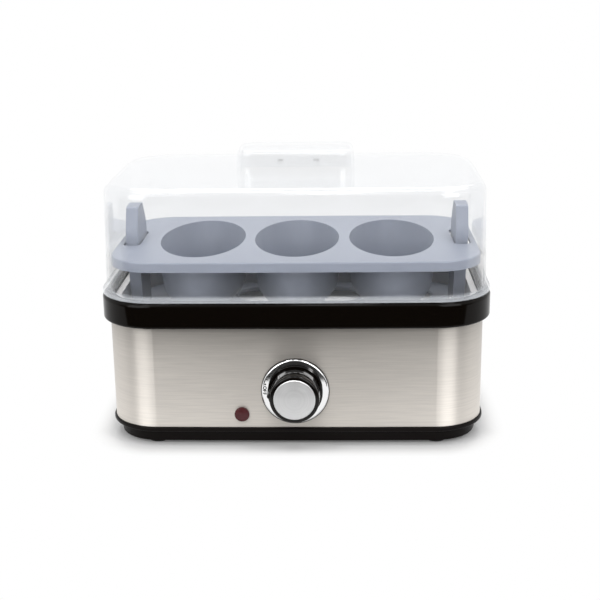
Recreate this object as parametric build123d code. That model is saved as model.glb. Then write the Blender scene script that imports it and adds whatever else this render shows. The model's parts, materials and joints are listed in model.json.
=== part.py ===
from build123d import *
import os
from math import cos, sin, radians, sqrt

# Electric egg cooker: a brushed steel body with a stainless water bowl over a
# heating element, an egg rack, a poaching tray with three long cups and a clear
# lid with a moulded handle. Millimetres, +Z up, -Y is the front with the knob.
# Origin: middle of the overall footprint, knob included, on the surface that the
# feet stand on. Depths below are measured from the middle of the body instead.

os.makedirs("parts", exist_ok=True)

# ---------------------------------------------------------------- plan outline
# Every shell follows one plan: a rounded rectangle whose sides bow outwards.
# An inset is a distance inwards from the rim's outer face.
rim_half_x = 120.0
rim_half_y = 72.0
rim_corner = 34.5
side_bow = 1.1           # bulge of the long sides
end_bow = 0.4            # bulge of the short sides

# ---------------------------------------------------------------- clearances
lift_gap = 0.3           # under a piece that lifts off, where it stands
screw_gap = 0.05         # round a screw or pin that doesn't move
shaft_gap = 0.05         # running clearance of the control shaft
panel_gap = 0.1          # between the bowed front and a flat piece on it
slide_gap = 1.2          # round a handle in its slot

# ---------------------------------------------------------------- base pan
skirt_bottom = 2.4
floor_underside = 5.4
floor_thickness = 2.4
lip_bottom = 9.9
lip_height = 3.0
lip_inset = 3.0
lip_edge = 1.1
skirt_bottom_inset = 8.0
skirt_top_inset = 6.5
pan_wall = 1.8
pan_rib_height = 3.0
pan_rib_wall = 2.0
vent_count = 7
vent_pitch = 8.0
vent_width = 3.0
vent_length = 44.0

# ---------------------------------------------------------------- feet
foot_inset_x = 33.3     # from the rim's outer face to the middle of a foot
foot_inset_y = 17.8
foot_radius = 6.5
foot_edge = 1.0
foot_stem_radius = 2.5
foot_barb_radius = 3.3
foot_barb_height = 2.0
foot_socket_wall = 1.3
foot_socket_depth = 2.0

# ---------------------------------------------------------------- steel body
steel_inset = 4.2
steel_thickness = 0.8
steel_height = 67.6
rib_gap = 0.3            # between the steel and the ribs that locate it

# ---------------------------------------------------------------- rim bezel
rim_bottom = 77.0
rim_height = 15.9
rim_wall = 2.6
rim_top_edge = 2.6
rim_bottom_edge = 1.6
land_thickness = 3.0
ledge_width = 3.1
ledge_drop = 4.0         # from the rim's top down to the ledge
ledge_thickness = 3.0
clamp_rib_wall = 3.3
locating_rib_drop = 4.0

# ---------------------------------------------------------------- tie posts
post_inset = 13.4        # from the rim's outer face, at the middle of a corner
base_post_radius = 5.6
rim_post_radius = 4.4
post_head_gap = 1.0      # from the screwed part of a rim post up to the bowl
rim_leg_inset = 7.9      # slim part of a rim post, which passes outside the bowl
rim_leg_radius = 2.4
post_split = 47.0        # height where the base's and rim's posts meet
tie_head_radius = 3.8
tie_head_height = 2.6
tie_seat = 9.0
tie_radius = 2.0
tie_length = 50.0
tie_recess_gap = 0.4

# ---------------------------------------------------------------- water bowl
bowl_thickness = 0.8
bowl_floor = 65.0        # height of the wetted floor
bowl_top_inset = 11.0
bowl_bottom_inset = 12.0
bowl_fillet = 5.0
bowl_flange_inset = 7.8
seal_outer_inset = 8.0
seal_inner_inset = 10.0
seal_thickness = 0.8

# ---------------------------------------------------------------- heater
spreader_half_x = 62.0
spreader_half_y = 34.0
spreader_corner = 14.0
spreader_thickness = 2.0
element_radius = 3.3
element_leg_y = 22.0
element_turn_x = -28.0
element_end_x = 56.0
element_gap = 0.1        # braze film between the element and its plate
cold_pin_radius = 1.3
cold_pin_length = 9.0
element_tab_length = 8.0
element_tab_width = 6.3
tab_thickness = 0.8

stud_x = 38.0
stud_radius = 2.0
stud_length = 18.0
nut_flats = 7.0
nut_height = 3.2
strap_width = 12.0
strap_thickness = 1.2
strap_drop = 11.2        # from the spreader's underside to the strap's top
strap_foot_length = 1.4
strap_wall_gap = 0.6     # between the strap's leg and the bowl's wall at its top

# ---------------------------------------------------------------- thermostat and fuse
thermostat_cap_radius = 8.0
thermostat_cap_height = 5.0
thermostat_body_radius = 7.0
thermostat_body_height = 8.0
thermostat_tab_length = 7.0
thermostat_tab_pitch = 8.0
bracket_half_x = 16.0
bracket_half_y = 8.6
bracket_thickness = 0.8
bracket_screw_x = 12.5
small_screw_radius = 1.45
small_head_radius = 2.6
small_head_height = 2.0
fuse_x = 22.0
fuse_y = -11.0
fuse_radius = 2.0
fuse_length = 12.0
fuse_lead_radius = 0.5
fuse_lead_length = 9.0
clip_wall = 0.8
clip_width = 7.0
clip_ear = 8.0

# ---------------------------------------------------------------- timer and control
dial_z = 36.7
timer_half_x = 22.0
timer_half_z = 17.6
timer_depth = 33.0
timer_edge = 2.0
timer_plate_thickness = 1.2
timer_tab_length = 10.0
timer_tab_width = 8.0
bushing_radius = 5.0
bushing_reach = 4.9      # past the front of the steel
control_hole_gap = 0.3
shaft_radius = 3.0
shaft_flat = 2.2         # distance of the flat from the shaft's axis
shaft_inside = 22.0      # length of shaft in the timer's case
control_nut_flats = 14.0
control_nut_height = 2.5
timer_tab_count = 3
timer_tab_pitch = 11.0

dial_radius = 20.85
dial_thickness = 1.2
dial_edge = 0.4

# ---------------------------------------------------------------- knob
knob_gap = 0.5           # knob to dial, and hub to bushing
collar_radius = 16.75
collar_thickness = 1.8
knob_back_radius = 15.7
knob_front_radius = 14.9
knob_length = 14.2
knob_edge = 1.4
knob_wall = 2.0
knob_face = 2.6
hub_radius = 5.2
cap_radius = 12.5
cap_thickness = 1.4
cap_recess = 1.0
cap_gap = 0.1
cap_edge = 0.35
pointer_radius = 1.7
pointer_angle = 174.0    # degrees from +X, seen from the front: the OFF position
clip_ring_wall = 0.8
clip_ring_width = 4.0
clip_ring_gap_width = 3.0

# ---------------------------------------------------------------- pilot lamp
lamp_x = -32.8
lamp_z = 21.6
lens_radius = 4.55
lens_thickness = 0.9
lens_dome = 0.8
lens_barrel_radius = 3.7
lens_barrel_length = 13.0
lens_wall = 0.9
lamp_hole_gap = 0.3
lamp_clip_radius = 5.2
lamp_clip_thickness = 1.0
neon_radius = 2.3
neon_length = 14.0
neon_lead_radius = 0.4
neon_lead_length = 7.0

# ---------------------------------------------------------------- mains inlet
cord_z = 29.0
bushing_bore_radius = 3.6
cord_barrel_radius = 6.2
cord_flange_radius = 9.0
cord_flange_thickness = 2.2
cord_barrel_length = 12.0
cord_lock_radius = 8.2
cord_lock_thickness = 1.6
block_y = 36.0
block_half_x = 19.0
block_half_y = 9.0
block_height = 13.0
block_boss_height = 3.0
block_boss_radius = 3.6
block_ways = 3
block_pitch = 10.0
block_wire_radius = 2.2
block_screw_radius = 1.7
block_screw_length = 5.0
block_fix_x = 16.0

# ---------------------------------------------------------------- egg rack
rack_top = 71.0
rack_plate = 2.2
rack_top_inset = 14.5
rack_foot_inset = 17.8
rack_wall = 2.0
rack_edge = 1.0
egg_hole_radius = 18.0
egg_hole_chamfer = 1.0
egg_margin_x = 26.0      # the egg holes share the length that this leaves
egg_margin_y = 20.0
egg_columns = 4
egg_rows = 2

# The end handles lean outwards a little.
handle_foot_inset = 14.0
handle_foot_thickness = 7.1
handle_top = 138.6
handle_top_inset = 11.7
handle_top_thickness = 7.7
handle_foot_half = 16.0
handle_shoulder = 124.0
handle_shoulder_half = 17.5
handle_top_half = 8.0
handle_wall = 2.2
handle_top_radius = 3.0
handle_shoulder_radius = 12.0
stop_half = 7.0          # stops on the handles that carry the tray
stop_reach = 4.0
stop_height = 10.0

# ---------------------------------------------------------------- poaching tray
tray_top = 116.4
tray_plate = 2.0
tray_inset = 6.6
tray_lip_height = 6.0
tray_lip_wall = 1.8
tray_edge = 1.0
cup_count = 3
cup_gap = 2.9            # between two cups, under the tray
cup_end_land = 9.6       # between an end cup and a handle's slot
cup_end_inset = 21.0     # from the rim's outer face to a cup's mouth
cup_draft = 3.5
cup_depth = 34.6
cup_wall = 1.8
cup_fillet = 9.0         # round between a cup's wall and its floor
cup_fillet_share = 0.78  # the most that it takes of the floor's tightest bend
slot_half_y = 20.0

# ---------------------------------------------------------------- lid
lid_flange_height = 3.4
lid_flange_inset = 0.5
lid_flange_edge = 1.2
lid_foot_inset = 2.8
lid_top_inset = 4.4
lid_top = 160.7
lid_wall = 1.8
lid_shoulder = 6.0
lid_handle_half_x = 37.0
lid_handle_half_y = 20.3
lid_handle_corner = 10.0
lid_handle_height = 14.8
lid_handle_draft = 0.8
lid_handle_edge = 3.0
steam_hole_radius = 2.0
steam_hole_x = 12.0
steam_hole_y = 40.0

# ---------------------------------------------------------------- worked-out places
floor_top = floor_underside + floor_thickness
lip_top = lip_bottom + lip_height
foot_x = rim_half_x - foot_inset_x
foot_y = rim_half_y - foot_inset_y
rib_inset = steel_inset + steel_thickness + rib_gap
land_width = rib_inset + pan_rib_wall
steel_top = lip_top + steel_height
rim_top = rim_bottom + rim_height
ledge_inset = land_width + ledge_width
ledge_top = rim_top - ledge_drop
ledge_underside = ledge_top - ledge_thickness
corner_centre_x = rim_half_x - rim_corner
corner_centre_y = rim_half_y - rim_corner
post_reach = rim_corner - post_inset             # from the centre of the corner arc
post_x = corner_centre_x + post_reach * sqrt(0.5)
post_y = corner_centre_y + post_reach * sqrt(0.5)
leg_x = corner_centre_x + (rim_corner - rim_leg_inset) * sqrt(0.5)
leg_y = corner_centre_y + (rim_corner - rim_leg_inset) * sqrt(0.5)
flange_underside = ledge_top + seal_thickness
flange_top = flange_underside + bowl_thickness
bowl_underside = bowl_floor - bowl_thickness
spreader_underside = bowl_underside - spreader_thickness
element_z = spreader_underside - element_gap - element_radius
strap_top = spreader_underside - strap_drop
fuse_z = spreader_underside - element_gap - fuse_radius
clip_screw_y = fuse_y + fuse_radius + element_gap + clip_wall + clip_ear / 2
front_y = -(rim_half_y - steel_inset)            # outer face of the steel, mid-front
front_inner_y = front_y + steel_thickness
plate_front_y = front_inner_y + panel_gap
timer_front_y = plate_front_y + timer_plate_thickness
dial_back_y = front_y - panel_gap
dial_front_y = dial_back_y - dial_thickness
bushing_end_y = front_y - bushing_reach
knob_back_y = dial_front_y - knob_gap
knob_front_y = knob_back_y - knob_length
knob_hub_y = bushing_end_y - knob_gap
knob_face_y = knob_front_y + knob_face
cap_seat_y = knob_front_y + cap_recess
shaft_end_y = knob_face_y + knob_gap
rack_foot = bowl_floor + lift_gap
handle_foot = rack_top - rack_plate
egg_pitch_x = (rim_half_x - egg_margin_x) / 2
egg_pitch_y = rim_half_y - egg_margin_y
tray_underside = tray_top - tray_plate
stop_top = tray_underside - lift_gap
handle_foot_x = rim_half_x - handle_foot_inset - handle_foot_thickness
handle_top_x = rim_half_x - handle_top_inset - handle_top_thickness
handle_lean = (handle_top_x - handle_foot_x) / (handle_top - handle_foot)
stop_x = handle_foot_x + handle_lean * (stop_top - handle_foot)
slot_out = rim_half_x - handle_top_inset + slide_gap
slot_in = stop_x - slide_gap
cup_outer_half_x = (slot_in - cup_end_land - cup_gap) / cup_count
cup_half_x = cup_outer_half_x - cup_wall
cup_half_y = rim_half_y - cup_end_inset
cup_pitch = 2 * cup_outer_half_x + cup_gap
cup_floor_x = cup_half_x - cup_draft
cup_floor_y = cup_half_y - cup_draft
cup_round = min(cup_fillet, cup_fillet_share * cup_floor_x ** 2 / cup_floor_y)
cup_floor = tray_top - cup_depth
cup_underside = cup_floor - cup_wall
lid_foot = rim_top + lift_gap
centre_shift = -(knob_front_y + rim_half_y) / 2    # from the body's middle to the origin


# ---------------------------------------------------------------- shape helpers
def outline(inset, z):
    """Plan outline of the cooker at a given inset, as a face at height z."""
    half_x = rim_half_x - inset
    half_y = rim_half_y - inset
    tip_x = half_x - end_bow
    tip_y = half_y - side_bow
    sides = [
        ThreePointArc((-tip_x, -tip_y), (0, -half_y), (tip_x, -tip_y)),
        ThreePointArc((tip_x, -tip_y), (half_x, 0), (tip_x, tip_y)),
        ThreePointArc((tip_x, tip_y), (0, half_y), (-tip_x, tip_y)),
        ThreePointArc((-tip_x, tip_y), (-half_x, 0), (-tip_x, -tip_y)),
    ]
    plan = make_face(sides)
    return Pos(0, 0, z) * fillet(plan.vertices(), rim_corner - inset)


def prism(inset, low, high):
    """Straight-sided block on the plan outline."""
    return extrude(outline(inset, low), high - low)


def band(outer_inset, inner_inset, low, high):
    """Straight-sided ring between two insets of the plan outline."""
    return prism(outer_inset, low, high) - prism(inner_inset, low, high)


def drafted(low_inset, low, high_inset, high):
    """Block on the plan outline whose sides lean from one inset to another."""
    return loft([outline(low_inset, low), outline(high_inset, high)], ruled=True)


def upright(radius, low, high):
    """Cylinder on the Z axis between two heights."""
    return Pos(0, 0, low) * Cylinder(radius, high - low, align=(Align.CENTER, Align.CENTER, Align.MIN))


def block(low, high):
    """Box between two opposite corners."""
    size = [b - a for a, b in zip(low, high)]
    return Pos(*low) * Box(*size, align=(Align.MIN, Align.MIN, Align.MIN))


def turned(points):
    """Solid of revolution about the Y axis from (radius, y) points."""
    return revolve(make_face(Polyline(*points, close=True)), Axis.Y)


def bored(radius, y_from, y_to):
    """Cylinder on the Y axis between two depths."""
    return turned([(0, y_from), (radius, y_from), (radius, y_to), (0, y_to)])


def hexagon(flats, low, high):
    """Hexagonal prism on the Z axis."""
    return extrude(Pos(0, 0, low) * RegularPolygon(flats / 2, 6, major_radius=False), high - low)


def four(piece, x, y):
    """The piece copied to four places, mirrored about both centre lines."""
    return [Pos(sx * x, sy * y, 0) * piece for sx in (-1, 1) for sy in (-1, 1)]


def group(pieces):
    """Separate solids that share one node."""
    return Compound([solid for piece in pieces for solid in piece.solids()])


def wall_y(x, inset):
    """Depth of the bowed front, at this inset, beside the centre line."""
    chord = rim_half_x - inset - end_bow
    radius = (chord ** 2 + side_bow ** 2) / (2 * side_bow)
    return -(rim_half_y - inset) + radius - sqrt(radius ** 2 - x ** 2)


# ---------------------------------------------------------------- base
def make_base_pan():
    """Moulded pan: lip under the steel, drafted skirt, floor, screw posts, vents."""
    lip = prism(lip_inset, lip_bottom, lip_top)
    rims = lip.faces().sort_by(Axis.Z)
    lip = fillet(rims[0].edges() + rims[-1].edges(), lip_edge)
    pan = lip + drafted(skirt_bottom_inset, skirt_bottom, skirt_top_inset, lip_bottom)
    pan -= prism(skirt_top_inset + pan_wall, floor_top, lip_top)
    pan -= prism(skirt_bottom_inset + pan_wall, skirt_bottom, floor_underside)
    pan += band(rib_inset, rib_inset + pan_rib_wall, lip_top, lip_top + pan_rib_height)
    for post in four(upright(base_post_radius, floor_underside, post_split), post_x, post_y):
        pan += post
    for hole in four(upright(tie_radius + screw_gap, 0, post_split), post_x, post_y):
        pan -= hole
    for recess in four(upright(tie_head_radius + tie_recess_gap, 0, tie_seat), post_x, post_y):
        pan -= recess
    socket = upright(foot_radius + foot_socket_wall, floor_underside - foot_socket_depth, floor_underside)
    socket -= upright(foot_radius + rib_gap, 0, floor_underside)
    for ring in four(socket, foot_x, foot_y):
        pan += ring
    for hole in four(upright(foot_stem_radius + screw_gap, 0, floor_top), foot_x, foot_y):
        pan -= hole
    for side in (-1, 1):
        pan += Pos(side * block_fix_x, block_y, 0) * upright(
            block_boss_radius, floor_top, floor_top + block_boss_height)
    for i in range(vent_count):
        x = (i - (vent_count - 1) / 2) * vent_pitch
        slot = extrude(Pos(x, 0, 0) * Rot(0, 0, 90) * SlotOverall(vent_length, vent_width), floor_top + 1)
        pan -= slot
    for side in (-1, 1):
        pan -= Pos(side * block_fix_x, block_y, 0) * upright(
            block_screw_radius + screw_gap, floor_top, floor_top + block_boss_height)
    return pan


def make_feet():
    """Pull-through rubber feet: pad, stem through the floor, barb above it."""
    pad = upright(foot_radius, 0, floor_underside)
    pad = fillet(pad.edges().sort_by(Axis.Z)[0], foot_edge)
    foot = pad + upright(foot_stem_radius, floor_underside, floor_top)
    barb = Pos(0, 0, floor_top) * Cone(foot_barb_radius, foot_stem_radius * 0.7, foot_barb_height,
                                       align=(Align.CENTER, Align.CENTER, Align.MIN))
    return group(four(foot + barb, foot_x, foot_y))


def make_tie_screws():
    """Long screws that pull the base and the rim together over the steel."""
    screw = upright(tie_head_radius, tie_seat - tie_head_height, tie_seat)
    screw = fillet(screw.edges().sort_by(Axis.Z)[0], tie_head_height / 3)
    slot = upright(tie_radius, 0, tie_seat - tie_head_height / 2)
    cross = block((-0.5, -tie_radius, 0), (0.5, tie_radius, tie_seat - tie_head_height / 2))
    screw -= (cross + Rot(0, 0, 90) * cross) & slot
    screw += upright(tie_radius, tie_seat, tie_seat + tie_length)
    return group(four(screw, post_x, post_y))


def make_steel_housing():
    """Sheet sleeve with holes for the control, the lamp and the mains inlet."""
    sleeve = band(steel_inset, steel_inset + steel_thickness, lip_top, steel_top)
    deep = rim_half_y + steel_thickness
    sleeve -= Pos(0, 0, dial_z) * bored(bushing_radius + control_hole_gap, -deep, 0)
    sleeve -= Pos(lamp_x, 0, lamp_z) * bored(lens_barrel_radius + lamp_hole_gap, -deep, 0)
    sleeve -= Pos(0, 0, cord_z) * bored(cord_barrel_radius + control_hole_gap, 0, deep)
    return sleeve


def make_rim_bezel():
    """Glossy rim: rounded band, land for the lid, ledge for the bowl, ribs and posts."""
    bezel = prism(0, rim_bottom, rim_top)
    ends = bezel.faces().sort_by(Axis.Z)
    bezel = fillet(ends[-1].edges(), rim_top_edge)
    bezel = fillet(bezel.faces().sort_by(Axis.Z)[0].edges(), rim_bottom_edge)
    land_underside = rim_top - land_thickness
    bezel -= prism(rim_wall, rim_bottom, land_underside)
    bezel -= prism(land_width, land_underside, rim_top)
    clamp_inset = land_width - clamp_rib_wall
    bezel += band(clamp_inset, land_width, steel_top, land_underside)
    bezel += band(clamp_inset, ledge_inset, ledge_underside, ledge_top)
    bezel += band(rib_inset, land_width, steel_top - locating_rib_drop, steel_top)
    for post in four(upright(rim_post_radius, post_split, bowl_underside - post_head_gap), post_x, post_y):
        bezel += post
    for leg in four(upright(rim_leg_radius, post_split, ledge_underside), leg_x, leg_y):
        bezel += leg
    hole_top = tie_seat + tie_length + 1
    for hole in four(upright(tie_radius + screw_gap, post_split, hole_top), post_x, post_y):
        bezel -= hole
    return bezel


# ---------------------------------------------------------------- water bowl and heater
def make_heating_bowl():
    """Drawn stainless bowl with a flat flange that lies on the seal."""
    outer = drafted(bowl_bottom_inset, bowl_underside, bowl_top_inset, flange_top)
    outer = fillet(outer.faces().sort_by(Axis.Z)[0].edges(), bowl_fillet)
    inner = drafted(bowl_bottom_inset + bowl_thickness, bowl_floor,
                    bowl_top_inset + bowl_thickness, flange_top)
    inner = fillet(inner.faces().sort_by(Axis.Z)[0].edges(), bowl_fillet - bowl_thickness)
    flange = prism(bowl_flange_inset, flange_underside, flange_top)
    return outer + flange - inner


def make_bowl_seal():
    """Flat silicone ring under the bowl's flange."""
    return band(seal_outer_inset, seal_inner_inset, ledge_top, flange_underside)


def make_heat_spreader():
    """Aluminium plate under the bowl that carries the element."""
    plate = extrude(
        Pos(0, 0, spreader_underside)
        * RectangleRounded(2 * spreader_half_x, 2 * spreader_half_y, spreader_corner),
        spreader_thickness,
    )
    for x, y in [(-bracket_screw_x, 0), (bracket_screw_x, 0), (fuse_x, clip_screw_y)]:
        plate -= Pos(x, y, 0) * upright(small_screw_radius + screw_gap, 0, bowl_underside)
    return plate


def make_heating_element():
    """U-shaped sheathed element with cold pins and spade tabs."""
    turn = element_leg_y
    start = (element_end_x, -element_leg_y, element_z)
    route = Polyline(start, (element_turn_x, -element_leg_y, element_z))
    route += ThreePointArc((element_turn_x, -element_leg_y, element_z),
                           (element_turn_x - turn, 0, element_z),
                           (element_turn_x, element_leg_y, element_z))
    route += Line((element_turn_x, element_leg_y, element_z), (element_end_x, element_leg_y, element_z))
    section = Plane(origin=start, z_dir=(-1, 0, 0)) * Circle(element_radius)
    element = sweep(section, path=route)
    tab_from = element_end_x + cold_pin_length
    for side in (-1, 1):
        y = side * element_leg_y
        pin = Pos(element_end_x, y, element_z) * Rot(0, 90, 0) * Cylinder(
            cold_pin_radius, cold_pin_length, align=(Align.CENTER, Align.CENTER, Align.MIN))
        tab = block((tab_from - 1, y - element_tab_width / 2, element_z - tab_thickness / 2),
                    (tab_from + element_tab_length, y + element_tab_width / 2,
                     element_z + tab_thickness / 2))
        element += pin + tab
    return element


def make_bowl_studs():
    """Weld studs under the spreader."""
    stud = upright(stud_radius, spreader_underside - stud_length, spreader_underside)
    return group([Pos(side * stud_x, 0, 0) * stud for side in (-1, 1)])


def make_clamp_straps():
    """Bridges from ledge to ledge that pull the bowl down on its seal."""
    leg_in = rim_half_y - bowl_top_inset + strap_wall_gap
    leg_out = leg_in + strap_thickness
    profile = block((-strap_width / 2, -leg_out, strap_top - strap_thickness),
                    (strap_width / 2, leg_out, strap_top))
    for side in (-1, 1):
        near, far = sorted((side * leg_in, side * leg_out))
        profile += block((-strap_width / 2, near, strap_top - strap_thickness),
                         (strap_width / 2, far, ledge_underside))
        near, far = sorted((side * leg_in, side * (leg_out + strap_foot_length)))
        profile += block((-strap_width / 2, near, ledge_underside - strap_thickness),
                         (strap_width / 2, far, ledge_underside))
    profile -= upright(stud_radius + control_hole_gap, 0, strap_top)
    return group([Pos(side * stud_x, 0, 0) * profile for side in (-1, 1)])


def make_strap_nuts():
    """Hexagon nuts under the straps."""
    strap_underside = strap_top - strap_thickness
    nut = hexagon(nut_flats, strap_underside - nut_height, strap_underside)
    nut -= upright(stud_radius + screw_gap, 0, strap_underside)
    return group([Pos(side * stud_x, 0, 0) * nut for side in (-1, 1)])


# ---------------------------------------------------------------- thermostat and fuse
def make_thermostat():
    """Snap-disc thermostat: metal cap against the spreader, moulded body, tabs."""
    cap_top = spreader_underside
    cap_underside = cap_top - thermostat_cap_height
    body_underside = cap_underside - thermostat_body_height
    disc = upright(thermostat_cap_radius, cap_underside, cap_top)
    disc += upright(thermostat_body_radius, body_underside, cap_underside)
    for side in (-1, 1):
        x = side * thermostat_tab_pitch / 2
        tab_end = body_underside - thermostat_tab_length
        disc += block((x - tab_thickness / 2, -element_tab_width / 2, tab_end),
                      (x + tab_thickness / 2, element_tab_width / 2, body_underside + 1))
    return disc


def make_thermostat_bracket():
    """Sheet bracket under the thermostat's cap."""
    top = spreader_underside - thermostat_cap_height
    plan = RectangleRounded(2 * bracket_half_x, 2 * bracket_half_y, bracket_half_y - 1)
    plate = extrude(Pos(0, 0, top - bracket_thickness) * plan, bracket_thickness)
    plate -= upright(thermostat_body_radius + screw_gap, 0, top)
    for side in (-1, 1):
        plate -= Pos(side * bracket_screw_x, 0, 0) * upright(small_screw_radius + screw_gap, 0, top)
    return plate


def small_screw(seat):
    """Pan-head screw whose head bears upwards on the seat height."""
    head = upright(small_head_radius, seat - small_head_height, seat)
    head = fillet(head.edges().sort_by(Axis.Z)[0], small_head_height / 3)
    return head + upright(small_screw_radius, seat, bowl_underside - screw_gap)


def make_heater_screws():
    """Screws of the thermostat's bracket and of the fuse clip."""
    bracket_seat = spreader_underside - thermostat_cap_height - bracket_thickness
    screws = [Pos(side * bracket_screw_x, 0, 0) * small_screw(bracket_seat) for side in (-1, 1)]
    clip_seat = spreader_underside - clip_wall
    screws.append(Pos(fuse_x, clip_screw_y, 0) * small_screw(clip_seat))
    return group(screws)


def make_thermal_fuse():
    """Axial fuse lying along X under the spreader."""
    along = Pos(fuse_x, fuse_y, fuse_z) * Rot(0, 90, 0)
    fuse = along * Cylinder(fuse_radius, fuse_length)
    return fuse + along * Cylinder(fuse_lead_radius, fuse_length + 2 * fuse_lead_length)


def make_fuse_clip():
    """Sheet clip round the fuse with one screwed ear."""
    inner = fuse_radius + element_gap
    outer = inner + clip_wall
    near, far = fuse_x - clip_width / 2, fuse_x + clip_width / 2

    def saddle(radius):
        barrel = Pos(fuse_x, fuse_y, fuse_z) * Rot(0, 90, 0) * Cylinder(radius, clip_width)
        return barrel + block((near, fuse_y - radius, fuse_z), (far, fuse_y + radius, spreader_underside))

    clip = saddle(outer) & block((near, fuse_y - outer, 0), (far, fuse_y + outer, spreader_underside))
    clip += block((near, fuse_y + inner, spreader_underside - clip_wall),
                  (far, fuse_y + outer + clip_ear, spreader_underside))
    clip -= saddle(inner)
    clip -= Pos(fuse_x, clip_screw_y, 0) * upright(small_screw_radius + screw_gap, 0, spreader_underside)
    return clip


# ---------------------------------------------------------------- timer
def make_timer_plate():
    """Front plate of the timer with its threaded bushing and side tabs."""
    plate = block((-timer_half_x - timer_plate_thickness, plate_front_y, -timer_half_z),
                  (timer_half_x + timer_plate_thickness, timer_front_y, timer_half_z))
    for side in (-1, 1):
        near, far = sorted((side * timer_half_x, side * (timer_half_x + timer_plate_thickness)))
        plate += block((near, timer_front_y, -timer_tab_width / 2),
                       (far, timer_front_y + timer_tab_length, timer_tab_width / 2))
    plate += bored(bushing_radius, bushing_end_y, timer_front_y)
    plate -= bored(shaft_radius + shaft_gap, bushing_end_y - 1, timer_front_y + 1)
    return Pos(0, 0, dial_z) * plate


def make_timer_case():
    """Moulded case of the wind-up timer, with the well that the shaft turns in."""
    case = block((-timer_half_x, timer_front_y, -timer_half_z),
                 (timer_half_x, timer_front_y + timer_depth, timer_half_z))
    case = fillet(case.edges().filter_by(Axis.Y), timer_edge)
    rear = timer_front_y + timer_depth
    case = chamfer(case.faces().sort_by(Axis.Y)[-1].edges(), timer_edge / 2)
    case -= bored(shaft_radius + shaft_gap, timer_front_y - 1, timer_front_y + shaft_inside + knob_gap)
    case -= Pos(0, rear, timer_half_z / 2) * Box(timer_half_x, 1.6, timer_half_z / 2)
    return Pos(0, 0, dial_z) * case


def make_timer_terminals():
    """Spade terminals on the back of the timer."""
    rear = timer_front_y + timer_depth
    tabs = []
    for i in range(timer_tab_count):
        x = (i - (timer_tab_count - 1) / 2) * timer_tab_pitch
        tabs.append(block((x - element_tab_width / 2, rear, -timer_half_z / 2),
                          (x + element_tab_width / 2, rear + element_tab_length,
                           -timer_half_z / 2 + tab_thickness)))
    return group([Pos(0, 0, dial_z) * tab for tab in tabs])


def make_control_nut():
    """Thin nut that clamps the timer and the dial to the steel."""
    nut = extrude(RegularPolygon(control_nut_flats / 2, 6, major_radius=False), control_nut_height)
    nut -= upright(bushing_radius + screw_gap, 0, control_nut_height)
    return Pos(0, dial_front_y, dial_z) * Rot(90, 0, 0) * nut


def make_dial_ring():
    """Mirror-bright scale plate round the knob."""
    disc = bored(dial_radius, dial_back_y, dial_front_y)
    disc = fillet(disc.edges().sort_by(Axis.Y)[0], dial_edge)
    disc -= bored(bushing_radius + screw_gap, dial_front_y - 1, dial_back_y + 1)
    return Pos(0, 0, dial_z) * disc


# ---------------------------------------------------------------- knob
def shaft_section(radius, flat):
    """D-shaped section of the shaft; the flat faces up."""
    return Circle(radius) & Pos(0, (flat - radius) / 2) * Rectangle(2 * radius, flat + radius)


def make_timer_shaft():
    """Round in the bushing, with a flat where the knob holds it."""
    inside = timer_front_y + shaft_inside
    round_end = bored(shaft_radius, bushing_end_y, inside)
    flat_end = Plane(origin=(0, bushing_end_y, 0), x_dir=(1, 0, 0), z_dir=(0, -1, 0)) * extrude(
        shaft_section(shaft_radius, shaft_flat), bushing_end_y - shaft_end_y)
    return Pos(0, 0, dial_z) * (round_end + flat_end)


def make_knob_body():
    """Hollow moulded knob: collar, tapered grip, hub with a D-shaped bore, pointer."""
    grip_back = knob_back_y - collar_thickness
    knob = turned([(0, knob_back_y), (collar_radius, knob_back_y), (collar_radius, grip_back),
                   (knob_back_radius, grip_back), (knob_front_radius, knob_front_y), (0, knob_front_y)])
    knob = fillet(knob.edges().sort_by(Axis.Y)[0], knob_edge)
    reach = knob_front_radius
    pointer = turned([(0, grip_back + 0.5), (pointer_radius, grip_back + 0.5),
                      (pointer_radius, knob_front_y + knob_edge), (0, knob_front_y + knob_edge)])
    pointer = fillet(pointer.edges().sort_by(Axis.Y)[0], pointer_radius / 2)
    knob += Pos(reach * cos(radians(pointer_angle)), 0, reach * sin(radians(pointer_angle))) * pointer
    knob -= bored(knob_front_radius - knob_wall, knob_face_y, knob_back_y + 1)
    knob -= bored(cap_radius + cap_gap, knob_front_y - 1, cap_seat_y)
    knob += bored(hub_radius, knob_hub_y, knob_face_y)
    bore_section = shaft_section(shaft_radius + screw_gap, shaft_flat + screw_gap)
    bore_length = knob_hub_y - shaft_end_y + knob_gap / 2
    bore = Plane(origin=(0, knob_hub_y, 0), x_dir=(1, 0, 0), z_dir=(0, -1, 0)) * extrude(
        bore_section, bore_length)
    return Pos(0, 0, dial_z) * (knob - bore)


def make_knob_clip():
    """Split spring ring round the knob's hub."""
    inner = hub_radius + screw_gap
    outer = inner + clip_ring_wall
    back = knob_hub_y - knob_gap
    ring = bored(outer, back - clip_ring_width, back) - bored(inner, back - clip_ring_width, back)
    ring -= Pos(0, back, -outer) * Box(clip_ring_gap_width, 2 * clip_ring_width + 1, outer)
    return Pos(0, 0, dial_z) * ring


def make_knob_cap():
    """Spun aluminium disc in the front of the knob."""
    disc = bored(cap_radius, cap_seat_y - cap_thickness, cap_seat_y)
    disc = chamfer(disc.edges().sort_by(Axis.Y)[0], cap_edge)
    return Pos(0, 0, dial_z) * disc


# ---------------------------------------------------------------- lamp
def lamp_seat_y():
    return wall_y(lens_radius - lamp_x, steel_inset) - panel_gap - side_bow * 0.2


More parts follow.
